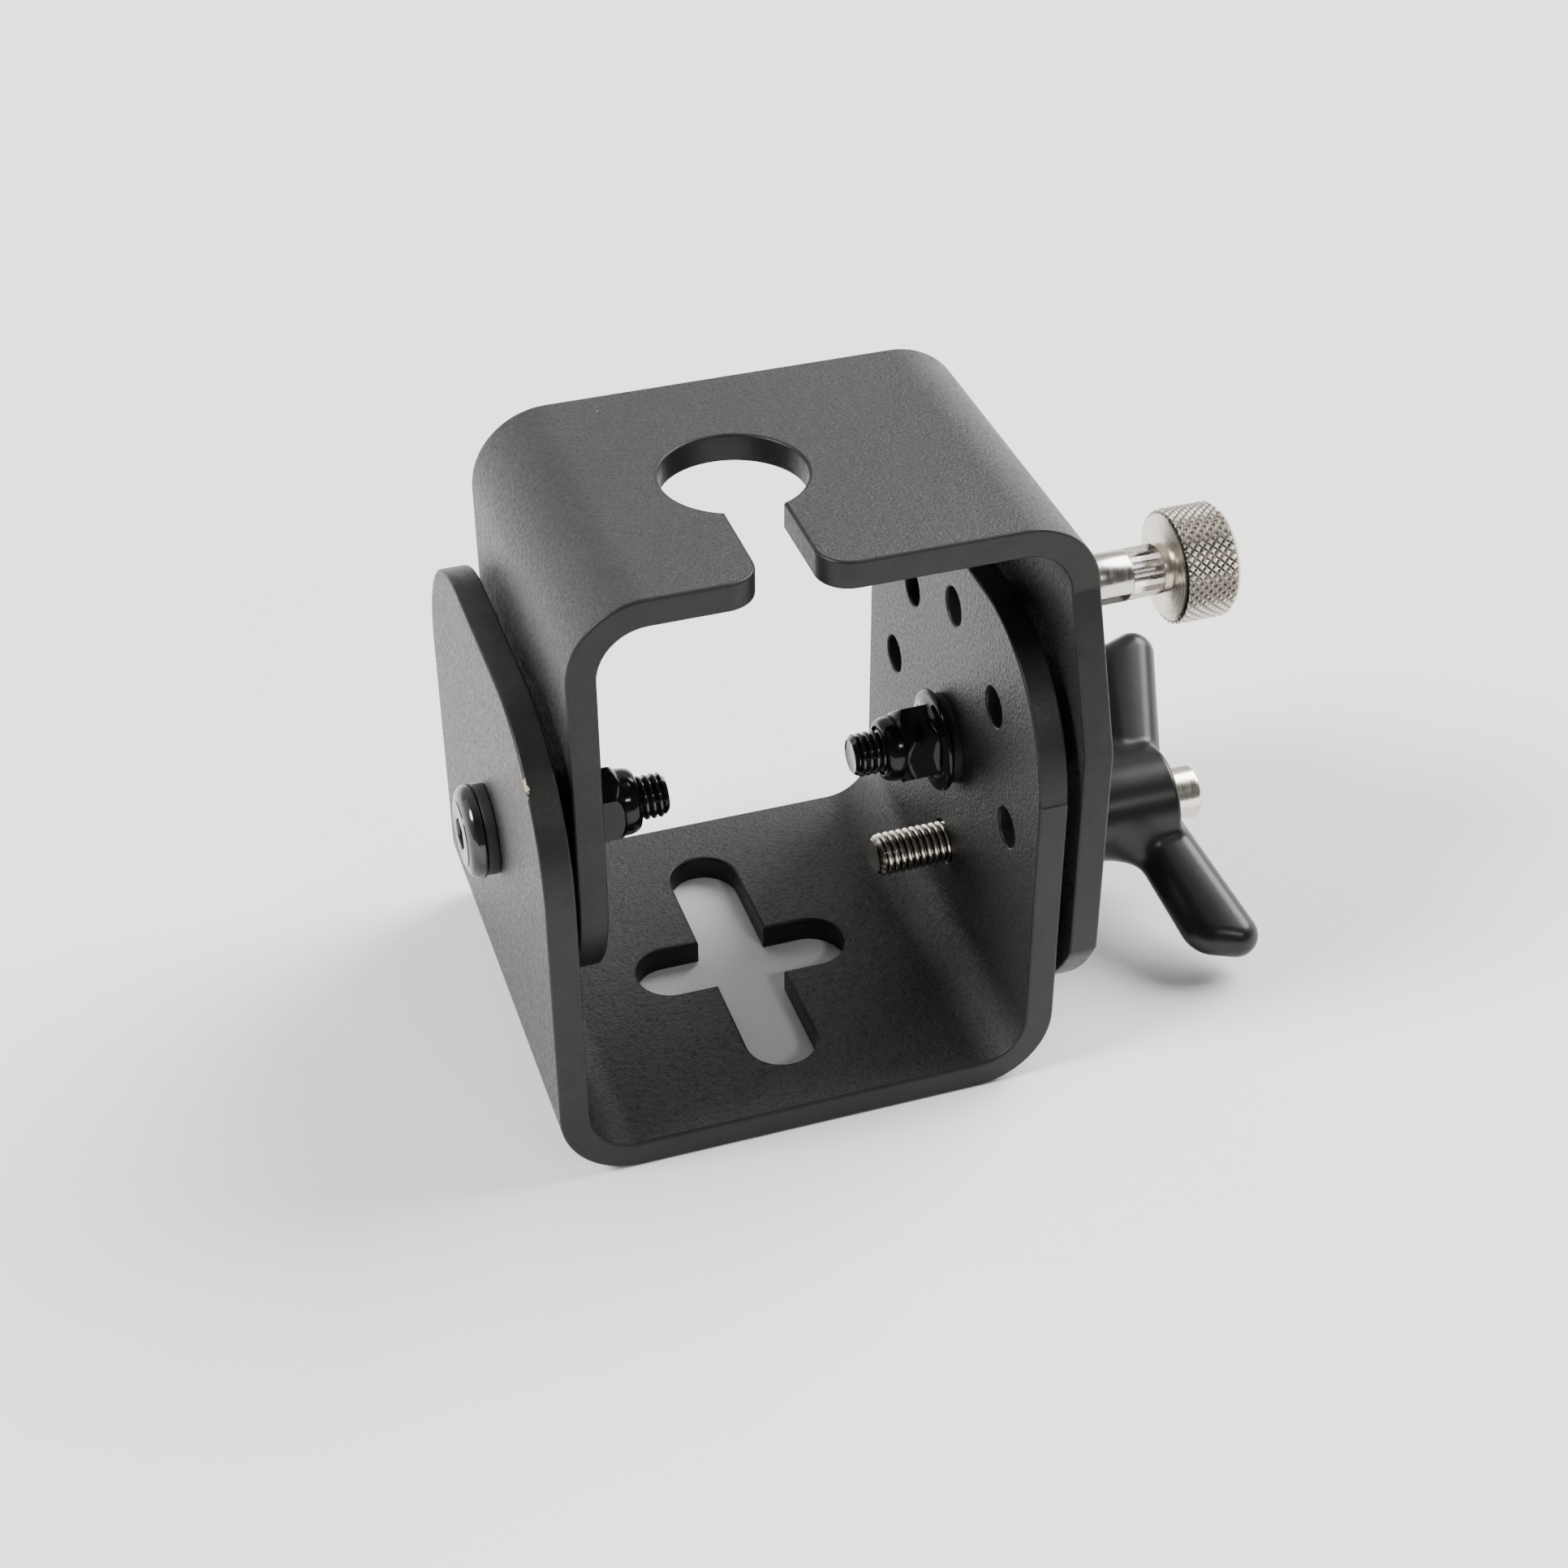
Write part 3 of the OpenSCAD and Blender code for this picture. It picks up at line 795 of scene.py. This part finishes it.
# ---------------------------------------------------------------- plunger
LUG_ANGLE = math.radians(35.0)
LUG_IN, LUG_OUT = 2.13, 2.88      # the lugs' inner and outer radius
LUG_TIP = sleeve_hi.x - 0.55      # how far they reach into the sleeve's slots
LUG_HALF = math.asin(0.90 / 2.90)
SLOT_HALF = math.asin(1.07 / 2.95)
SLOT_DEPTH = 4.1
SLOT_FLOOR_R = 2.12
SLEEVE_BORE_R = 2.03
SLEEVE_WALL_R = 1.2               # hole for the stem in the sleeve's end
KNOB_R = knob_hi.z - INDEX_Z - ROOM
KNOB_END = knob_hi.x - ROOM
KNOB_FACE = KNOB_END - 6.8        # the plain inner face
BOSS_R = 2.8
KNURL_COUNT = 38
KNURL_DEPTH = 0.33
KNURL_STEPS = 8                   # points across one diamond
PIN_R = 1.98
STEM_R = 1.13
COIL_R = 1.6
COIL_TURNS = 7
WIRE_R = 0.2 - ROOM


def slotted_angles(half, extra):
    """Even angles, with close pairs added where the slots' sides are."""
    sides = [
        LUG_ANGLE + turn + way * (half + step)
        for turn in (0, math.pi) for way in (-1, 1) for step in (-extra, extra)
    ]
    return np.array(sorted(set(list(regular()) + [a % (2 * math.pi) for a in sides])))


def sleeve():
    """Threaded sleeve of the plunger, with two slots in its outer end."""
    angles = slotted_angles(SLOT_HALF, 0.006)
    leg, end, out = sleeve_lo.x, sleeve_hi.x, upper_hi.x
    r = sleeve_hi.z - INDEX_Z - ROOM
    off = (angles - LUG_ANGLE + math.pi / 2) % math.pi - math.pi / 2
    cut = np.abs(off) < SLOT_HALF

    def slotted(x, radius):
        """A station that dips to the slots' floor where the slots are."""
        return (x, np.where(cut, np.minimum(radius, SLOT_FLOOR_R), radius))

    stations = [(leg, SLEEVE_BORE_R), (leg, r - 0.3), (leg + 0.3, r)]
    stations += [(out - 0.05, r), (out + 0.25, r)]
    for x, dip in ((out + 0.55, 0.28), (out + 1.25, 0.34)):
        stations += [(x, r - 0.05), (x + 0.12, r - dip)]
        stations += [(x + 0.30, r - dip), (x + 0.42, r - 0.04)]
    floor = end - SLOT_DEPTH
    stations += [(out + 1.95, r), (floor, r), slotted(floor + 0.01, r)]
    stations += [slotted(end - 0.32, r), slotted(end - 0.12, r - 0.10), slotted(end, r - 0.32)]
    stations += [(end, SLEEVE_BORE_R + 0.05), (end - 0.9, SLEEVE_BORE_R + 0.02)]
    stations += [(end - 0.92, SLEEVE_WALL_R), (end - 1.2, SLEEVE_WALL_R)]
    stations += [(end - 1.22, SLEEVE_BORE_R), (leg, SLEEVE_BORE_R)]
    spun_piece("threaded_sleeve", stations, INDEX_LINE, angles, 28.0, body="upper",
               replaced="plunger_sleeve", slot="nickel_plate", materials=[NICKEL])


def knob():
    """Knurled knob with a plain inner face and a short boss."""
    count = KNURL_COUNT * KNURL_STEPS
    r, face, end = KNOB_R, KNOB_FACE, KNOB_END
    step = 2 * math.pi * r / KNURL_COUNT / KNURL_STEPS
    start, stop = face + 0.28, end - 0.72      # the knurled length
    rows = int((stop - start) / step)
    stations = [(face - 1.0, 0.0), (face - 1.0, BOSS_R - 0.08), (face - 0.94, BOSS_R)]
    stations += [(face - 0.02, BOSS_R), (face, BOSS_R + 0.06)]
    stations += [(face, r - 0.75), (face + 0.04, r - 0.62), (face + 0.22, r - 0.34)]
    lanes = np.arange(count) / KNURL_STEPS
    for k in range(rows + 1):
        along = k / KNURL_STEPS
        first = np.abs(2 * ((lanes + along) % 1.0) - 1)
        second = np.abs(2 * ((lanes - along) % 1.0) - 1)
        # 1 along the grooves, 0 on the small flat top of each diamond
        groove = np.clip(np.maximum(first, second) * 1.12 - 0.12, 0, 1)
        stations.append((start + k * (stop - start) / rows, r - KNURL_DEPTH * groove))
    stations += [(end - 0.62, r - KNURL_DEPTH), (end - 0.05, r - 0.86), (end, r - 0.95)]
    stations += [(end, 1.35), (end - 0.12, 1.2), (end - 0.3, 0.0)]
    spun_piece("knurled_knob", stations, INDEX_LINE, regular(count), 24.0, body="plunger",
               replaced="plunger_knob", slot="nickel_plate", materials=[KNURLED])


def lug(number, turn):
    """One of the knob's two lugs, which drop into the sleeve's slots."""
    verts, faces = [], []
    sweep = np.linspace(LUG_ANGLE + turn - LUG_HALF, LUG_ANGLE + turn + LUG_HALF, 9)
    for x, bevel in ((LUG_TIP, 0.10), (LUG_TIP + 0.08, 0.0), (KNOB_FACE - 0.9, 0.0)):
        for a in sweep:
            for radius in (LUG_IN + bevel, LUG_OUT - bevel):
                verts.append((x, radius * math.cos(a), INDEX_Z + radius * math.sin(a)))
    row = 2 * len(sweep)
    for k in range(2):
        for i in range(len(sweep) - 1):
            a = k * row + 2 * i
            faces.append((a, a + 2, a + row + 2, a + row))
            faces.append((a + 1, a + row + 1, a + row + 3, a + 3))
        for a in (k * row, k * row + row - 2):
            faces.append((a, a + 1, a + row + 1, a + row))
    for k in (0, 2):
        for i in range(len(sweep) - 1):
            a = k * row + 2 * i
            faces.append((a, a + 1, a + 3, a + 2))
    piece = mesh_piece(f"knob_lug_{number}", verts, faces, "plunger", None,
                       "nickel_plate", [NICKEL])
    shade(piece, 40.0)


def index_pin():
    """The index pin with its thinner stem, which the spring goes round."""
    tip = pin_lo.x
    shoulder = spring_lo.x - 0.05
    stations = [(tip, 0.0), (tip, PIN_R - 0.3), (tip + 0.05, PIN_R - 0.2), (tip + 0.3, PIN_R)]
    stations += [(shoulder - 0.1, PIN_R), (shoulder, PIN_R - 0.1), (shoulder, STEM_R)]
    stations += [(pin_hi.x, STEM_R), (pin_hi.x, 0.0)]
    spun_piece("index_pin", stations, INDEX_LINE, regular(), body="plunger",
               replaced="plunger_pin", slot="pin_steel", materials=[PIN_STEEL])


def return_spring():
    """Wire spring round the stem, attached to no body; the real one shortens when the knob is
    pulled out.
    """
    per_turn, sides = 28, 10
    lo, hi = spring_lo.x + 0.2, spring_hi.x - 0.2
    verts, faces = [], []
    for i in range(COIL_TURNS * per_turn + 1):
        a = 2 * math.pi * i / per_turn
        x = lo + (hi - lo) * i / (COIL_TURNS * per_turn)
        for j in range(sides):
            b = 2 * math.pi * j / sides
            r = COIL_R + WIRE_R * math.cos(b)
            verts.append((x + WIRE_R * math.sin(b), r * math.cos(a), INDEX_Z + r * math.sin(a)))
    for i in range(COIL_TURNS * per_turn):
        for j in range(sides):
            a, b = i * sides + j, i * sides + (j + 1) % sides
            faces.append((a, b, b + sides, a + sides))
    faces.append(tuple(range(sides)))
    faces.append(tuple(range(len(verts) - sides, len(verts))))
    piece = mesh_piece("return_spring", verts, faces, None, "plunger_spring",
                       "spring_steel", [WIRE])
    shade(piece, 50.0)
    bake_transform(piece)


# ---------------------------------------------------------------- wing screw
HUB_LO = wing_lo.x + ROOM
HUB_HI = upper_hi.x + 19.6
HUB_LEG_R = 5.95 - ROOM           # the hub widens from the leg outwards
HUB_R = 6.3 - ROOM
HUB_BEVEL = 0.6
WING_RISE = math.radians(29.3)    # how far the wings stand off level
WING_HALF_T = 2.6 - ROOM
WING_EDGE_W = 2.6                 # width of the wings' rounded edges
WING_CROWN = 0.20                 # how much thinner they are 4 mm off their middle
WING_LEAN = 0.28                  # how far their middle runs outwards per mm
WING_OUTLINE = [                  # circles (out from the axis, x, r) of a wing
    (0.0, HUB_HI - 3.4, 3.5),
    (16.4, HUB_HI + 0.8, 4.25 - ROOM),
    (18.7, HUB_HI + 2.9, 2.7 - ROOM),
]
WING_FILL = 0.985                 # below 1 they are that much thicker all over
BLEND_NEAR_LEG = 4.4              # how softly the wings flow into the hub,
BLEND_SHRINK = 3.2                # how much less so at its outer end,
BLEND_FROM = HUB_HI - 7.5         # and where along X that changes
BLEND_RUN = 6.0


def smooth_min(a, b, k):
    """The lower of two fields, rounded over a width k where they cross."""
    h = np.clip(0.5 + 0.5 * (b - a) / k, 0, 1)
    return b + (a - b) * h - k * h * (1 - h)


def gradient(field, points, near=0.01):
    """How fast a field over (x, y, z) changes at each of some points."""
    return np.stack([
        (field(*(points + d).T) - field(*(points - d).T)) / (2 * near)
        for d in np.eye(3) * near
    ], axis=1)


def relaxed(verts, faces, field, rounds=4):
    """The points evened out over the mesh, and put back where the field is zero."""
    around = np.array(faces)
    for _ in range(rounds):
        near, number = np.zeros_like(verts), np.zeros(len(verts))
        for k in range(4):
            one, other = around[:, k], around[:, k - 1]
            for a, b in ((one, other), (other, one)):
                np.add.at(near, a, verts[b])
                np.add.at(number, a, 1)
        verts = (verts + near / number[:, None]) / 2
        here = field(*verts.T)
        slope = gradient(field, verts)
        steep = np.maximum((slope ** 2).sum(axis=1), 0.1)
        verts = verts - slope * (here / steep)[:, None]
    return verts


def isosurface(field, lo, hi, step):
    """Points and four-sided faces of the surface where a field is zero.

    Each cell of a grid that the surface crosses has one point, in the middle
    of its crossings, and each crossed grid line joins four cells by a face."""
    axes = [np.arange(lo[k], hi[k] + step, step) for k in range(3)]
    values = field(*np.meshgrid(*axes, indexing="ij"))
    cells = np.array(values.shape) - 1
    total = np.zeros((*cells, 3))
    count = np.zeros(cells)
    quads = []
    for a in range(3):
        b, c = (a + 1) % 3, (a + 2) % 3
        lower = [slice(None)] * 3
        upper = [slice(None)] * 3
        lower[a], upper[a] = slice(0, -1), slice(1, None)
        v0, v1 = values[tuple(lower)], values[tuple(upper)]
        crossed = (v0 < 0) != (v1 < 0)
        share = np.where(crossed, v0 / np.where(v0 == v1, 1, v0 - v1), 0)
        for ob in (0, 1):
            for oc in (0, 1):
                pick = [slice(None)] * 3
                pick[b] = slice(ob, cells[b] + ob)
                pick[c] = slice(oc, cells[c] + oc)
                hit = crossed[tuple(pick)]
                count += hit
                total[..., a] += np.where(hit, share[tuple(pick)], 0)
                total[..., b] += hit * ob
                total[..., c] += hit * oc
        spots = np.argwhere(crossed)
        spots = spots[(spots[:, b] > 0) & (spots[:, c] > 0)]
        spots = spots[(spots[:, b] < cells[b]) & (spots[:, c] < cells[c])]
        quads.append((spots, b, c))
    number = -np.ones(cells, dtype=int)
    used = np.argwhere(count > 0)
    number[tuple(used.T)] = np.arange(len(used))
    verts = used + total[tuple(used.T)] / count[tuple(used.T)][:, None]
    verts = verts * step + np.array([ax[0] for ax in axes])
    faces = []
    for spots, b, c in quads:
        corners = []
        for db, dc in ((1, 1), (0, 1), (0, 0), (1, 0)):
            cell = spots.copy()
            cell[:, b] -= db
            cell[:, c] -= dc
            corners.append(number[tuple(cell.T)])
        faces += [tuple(int(i) for i in quad) for quad in np.stack(corners, axis=1)]
    return relaxed(verts, faces, field), faces


def belt(s, x, circles):
    """Distance to a belt drawn round circles (s, x, r), given anticlockwise."""
    normals, best = [], -np.inf
    for a, b in zip(circles, circles[1:] + circles[:1]):
        run = math.hypot(b[0] - a[0], b[1] - a[1])
        cs, cx, lean = (b[0] - a[0]) / run, (b[1] - a[1]) / run, (a[2] - b[2]) / run
        square = math.sqrt(1 - lean * lean)
        ns, nx = cs * lean + cx * square, cx * lean - cs * square
        normals.append((ns, nx))
        best = np.maximum(best, (s - a[0]) * ns + (x - a[1]) * nx - a[2])
    for k, (cs, cx, r) in enumerate(circles):
        ds, dx = s - cs, x - cx
        (bs, bx), (es, ex) = normals[k - 1], normals[k]
        faced = (bs * dx - bx * ds >= 0) & (ds * ex - dx * es >= 0)
        best = np.where(faced, np.maximum(best, np.hypot(ds, dx) - r), best)
    return best


def wing_field(x, s, q):
    """Field of one wing: s runs out from the axis, q is off the wing's plane."""
    flat = belt(s, x, WING_OUTLINE)
    middle = WING_OUTLINE[0][1] + WING_LEAN * s
    crown = 1 + WING_CROWN * ((x - middle) / 4.0) ** 2
    w0, w1 = flat / WING_EDGE_W + 1, np.abs(q) / WING_HALF_T * crown
    outside = np.hypot(np.maximum(w0, 0), w1 * WING_FILL) - 1
    return outside * WING_HALF_T


def hub_field(x, y, z):
    """Field of the slightly tapered hub with its rounded rims."""
    middle, half = (HUB_LO + HUB_HI) / 2, (HUB_HI - HUB_LO) / 2
    hub_here = HUB_LEG_R + (HUB_R - HUB_LEG_R) * (x - HUB_LO) / (HUB_HI - HUB_LO)
    w0 = np.hypot(y, z) - hub_here + HUB_BEVEL
    w1 = np.abs(x - middle) - half + HUB_BEVEL
    inside = np.minimum(np.maximum(w0, w1), 0)
    return np.hypot(np.maximum(w0, 0), np.maximum(w1, 0)) + inside - HUB_BEVEL


def knob_field(x, y, z):
    """Field of the whole wing knob: hub and both wings, run into each other."""
    dy, dz = y, z - CLAMP_Z
    s = dy * math.cos(WING_RISE) + dz * math.sin(WING_RISE)
    q = -dy * math.sin(WING_RISE) + dz * math.cos(WING_RISE)
    hub = hub_field(x, dy, dz)
    wings = np.minimum(wing_field(x, s, q), wing_field(x, -s, q))
    outward = np.clip((x - BLEND_FROM) / BLEND_RUN, 0, 1)
    outward = outward * outward * (3 - 2 * outward)
    return smooth_min(hub, wings, BLEND_NEAR_LEG - BLEND_SHRINK * outward)


def wing():
    """Moulded wing knob: a round hub with two leaning wings that flow into it."""
    margin = 1.0
    lo = (HUB_LO - margin, wing_lo.y - margin, wing_lo.z - margin)
    hi = (wing_hi.x + margin, wing_hi.y + margin, wing_hi.z + margin)
    step = 0.33
    verts, faces = isosurface(knob_field, lo, hi, step)
    piece = mesh_piece("moulded_wing_knob", verts, faces, "clamp", "wing_knob",
                       "wing_plastic", [WING_BLACK])
    shade(piece, 60.0)
    points = np.empty(len(piece.data.vertices) * 3)
    piece.data.vertices.foreach_get("co", points)
    slope = gradient(knob_field, points.reshape(-1, 3) / MM)
    slope /= np.linalg.norm(slope, axis=1)[:, None]
    piece.data.normals_split_custom_set_from_vertices(slope)


def stud():
    """Threaded stud of the wing screw, with its thicker plain outer end."""
    angles = regular()
    back, tip = stud_hi.x - ROOM, stud_lo.x
    r_back = stud_hi.z - CLAMP_Z - ROOM
    step = upper_hi.x + 3.3             # inside the hub, where the thread starts
    stations = [(back, 0.0), (back, 0.9), (back - 0.06, 1.1)]
    stations += [(back - 0.02, 1.35), (back, 1.6), (back, r_back - 0.7)]
    stations += rounded(back, r_back - 0.7, back - 0.7, r_back, 1, 6)[1:]
    stations += [(step, r_back), (step, THREAD_R - 0.05)]
    stations += thread_stations(step - 0.3, tip, angles, 0.6)
    stations += [(tip + 0.02, 1.7), (tip + 0.02, 0.0)]
    spun_piece("wing_screw_stud", stations, CLAMP_LINE, angles, 38.0, body="clamp",
               replaced="clamp_stud", slot="stud_steel", materials=[STUD_STEEL])


lower_plate()
upper_plate()
for pivot in ("left", "right"):
    pivot_screw(pivot)
    washers(pivot)
    lock_nut(pivot)
    nylon_insert(pivot)
sleeve()
knob()
lug(1, 0)
lug(2, math.pi)
index_pin()
return_spring()
wing()
stud()


# ---------------------------------------------------------------- stage
def floor():
    """A pale sweep, in metres: flat under the object and curving up far behind."""
    half, behind, turn = 4.0, 2.6, 1.4
    rows = [(-half, 0.0), (behind, 0.0)]
    rows += [
        (behind + turn * math.sin(a), turn * (1 - math.cos(a)))
        for a in np.radians(np.linspace(6, 90, 15))
    ]
    rows += [(behind + turn, turn + 2.0)]
    verts = [(x, y, z) for y, z in rows for x in (-half, half)]
    faces = [(2 * k, 2 * k + 1, 2 * k + 3, 2 * k + 2) for k in range(len(rows) - 1)]
    mesh = bpy.data.meshes.new("floor")
    mesh.from_pydata(verts, [], faces)
    mesh.polygons.foreach_set("use_smooth", [True] * len(mesh.polygons))
    mesh.materials.append(floor_paint())
    sheet = bpy.data.objects.new("floor", mesh)
    bpy.context.scene.collection.objects.link(sheet)


def towards(azimuth, elevation):
    """Unit vector of a direction in degrees; azimuth 0 is the front, 90 the right."""
    a, e = math.radians(azimuth), math.radians(elevation)
    return Vector((math.sin(a) * math.cos(e), -math.cos(a) * math.cos(e), math.sin(e)))


def aimed(name, lamp, azimuth, elevation, distance=1.0):
    """Places a lamp in that direction, pointed at the object's middle."""
    lamp.color = (1.0, 0.975, 0.95)
    away = towards(azimuth, elevation)
    light = bpy.data.objects.new(name, lamp)
    light.location = MIDDLE + away * distance
    light.rotation_mode = "QUATERNION"
    light.rotation_quaternion = (-away).to_track_quat("-Z", "Y")
    bpy.context.scene.collection.objects.link(light)


def soft_light(name, azimuth, elevation, distance, size, power):
    """A rectangular light at that distance, of that width and height."""
    lamp = bpy.data.lights.new(name, "AREA")
    lamp.shape = "RECTANGLE"
    lamp.size, lamp.size_y = size
    lamp.energy = power
    aimed(name, lamp, azimuth, elevation, distance)


def soft_sun(name, azimuth, elevation, spread, strength):
    """A far light as wide as a cloudy patch of sky, from that direction."""
    lamp = bpy.data.lights.new(name, "SUN")
    lamp.angle = math.radians(spread)
    lamp.energy = strength
    aimed(name, lamp, azimuth, elevation)


def world(front, back):
    """A studio that is dark in front, pale behind, and dims overhead."""
    ground = bpy.data.worlds.new("studio")
    ground.use_nodes = True
    tree = ground.node_tree
    backdrop = tree.nodes["Background"]
    split = tree.nodes.new("ShaderNodeSeparateXYZ")
    direction = tree.nodes.new("ShaderNodeTexCoord").outputs["Generated"]
    link(tree, direction, split.inputs["Vector"])
    backdrop.inputs["Color"].default_value = (1.0, 1.0, 1.0, 1)
    across = remap(tree, split.outputs["Y"], -0.45, 0.35, front, back)
    upward = remap(tree, split.outputs["Z"], 0.2, 0.8, 1.0, 0.35)
    link(tree, sums(tree, "MULTIPLY", across, upward), backdrop.inputs["Strength"])
    bpy.context.scene.world = ground


def camera():
    """The photograph's view: its direction, its distance and its lens."""
    aim = Vector((9.04, 11.33, 18.0)) * MM
    back = towards(-18.10, 37.02)
    roll = -0.0031
    distance, focal, sensor = 0.3166, 62.12, 36.0
    lens = bpy.data.cameras.new("camera")
    lens.lens, lens.sensor_width = focal, sensor
    lens.clip_start, lens.clip_end = 0.01, 50.0
    view = bpy.data.objects.new("camera", lens)
    view.location = aim + back * distance
    view.rotation_mode = "QUATERNION"
    view.rotation_quaternion = (
        (-back).to_track_quat("-Z", "Y") @ Matrix.Rotation(roll, 3, "Z").to_quaternion()
    )
    bpy.context.scene.collection.objects.link(view)
    bpy.context.scene.camera = view


MIDDLE = (cad_lo + cad_hi) / 2
floor()
world(front=0.15, back=1.95)
soft_sun("key", azimuth=105.0, elevation=43.0, spread=42.0, strength=6.2)
soft_sun("left", azimuth=-88.0, elevation=42.0, spread=20.0, strength=4.8)
soft_light("front", azimuth=18.0, elevation=38.0, distance=1.3, size=(0.2, 0.14), power=2.6)
camera()
